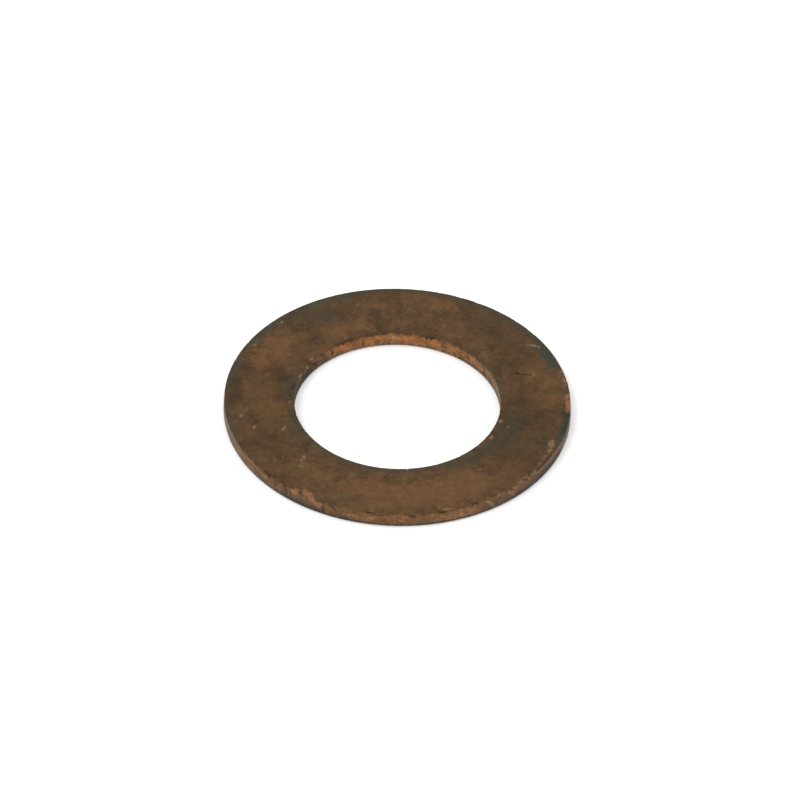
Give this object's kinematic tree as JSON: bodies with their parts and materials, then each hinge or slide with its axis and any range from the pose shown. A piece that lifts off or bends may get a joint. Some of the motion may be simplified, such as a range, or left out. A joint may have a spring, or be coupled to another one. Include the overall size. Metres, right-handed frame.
{
  "type": "flat washer",
  "caption": "Thin round flat washer, punched from copper sheet, that spreads a bolt head's load or seals beneath it.",
  "frame": {"origin": "middle of the bore, on the plane of the underside that the washer rests on", "axes": "+Z along the bore axis, from the underside with the rolled corners up to the top face"},
  "size_m": [0.022, 0.022, 0.001],
  "materials": {
    "tarnished_copper": null
  },
  "bodies": {
    "root": {"flat_washer": "tarnished_copper"}
  },
  "joints": []
}
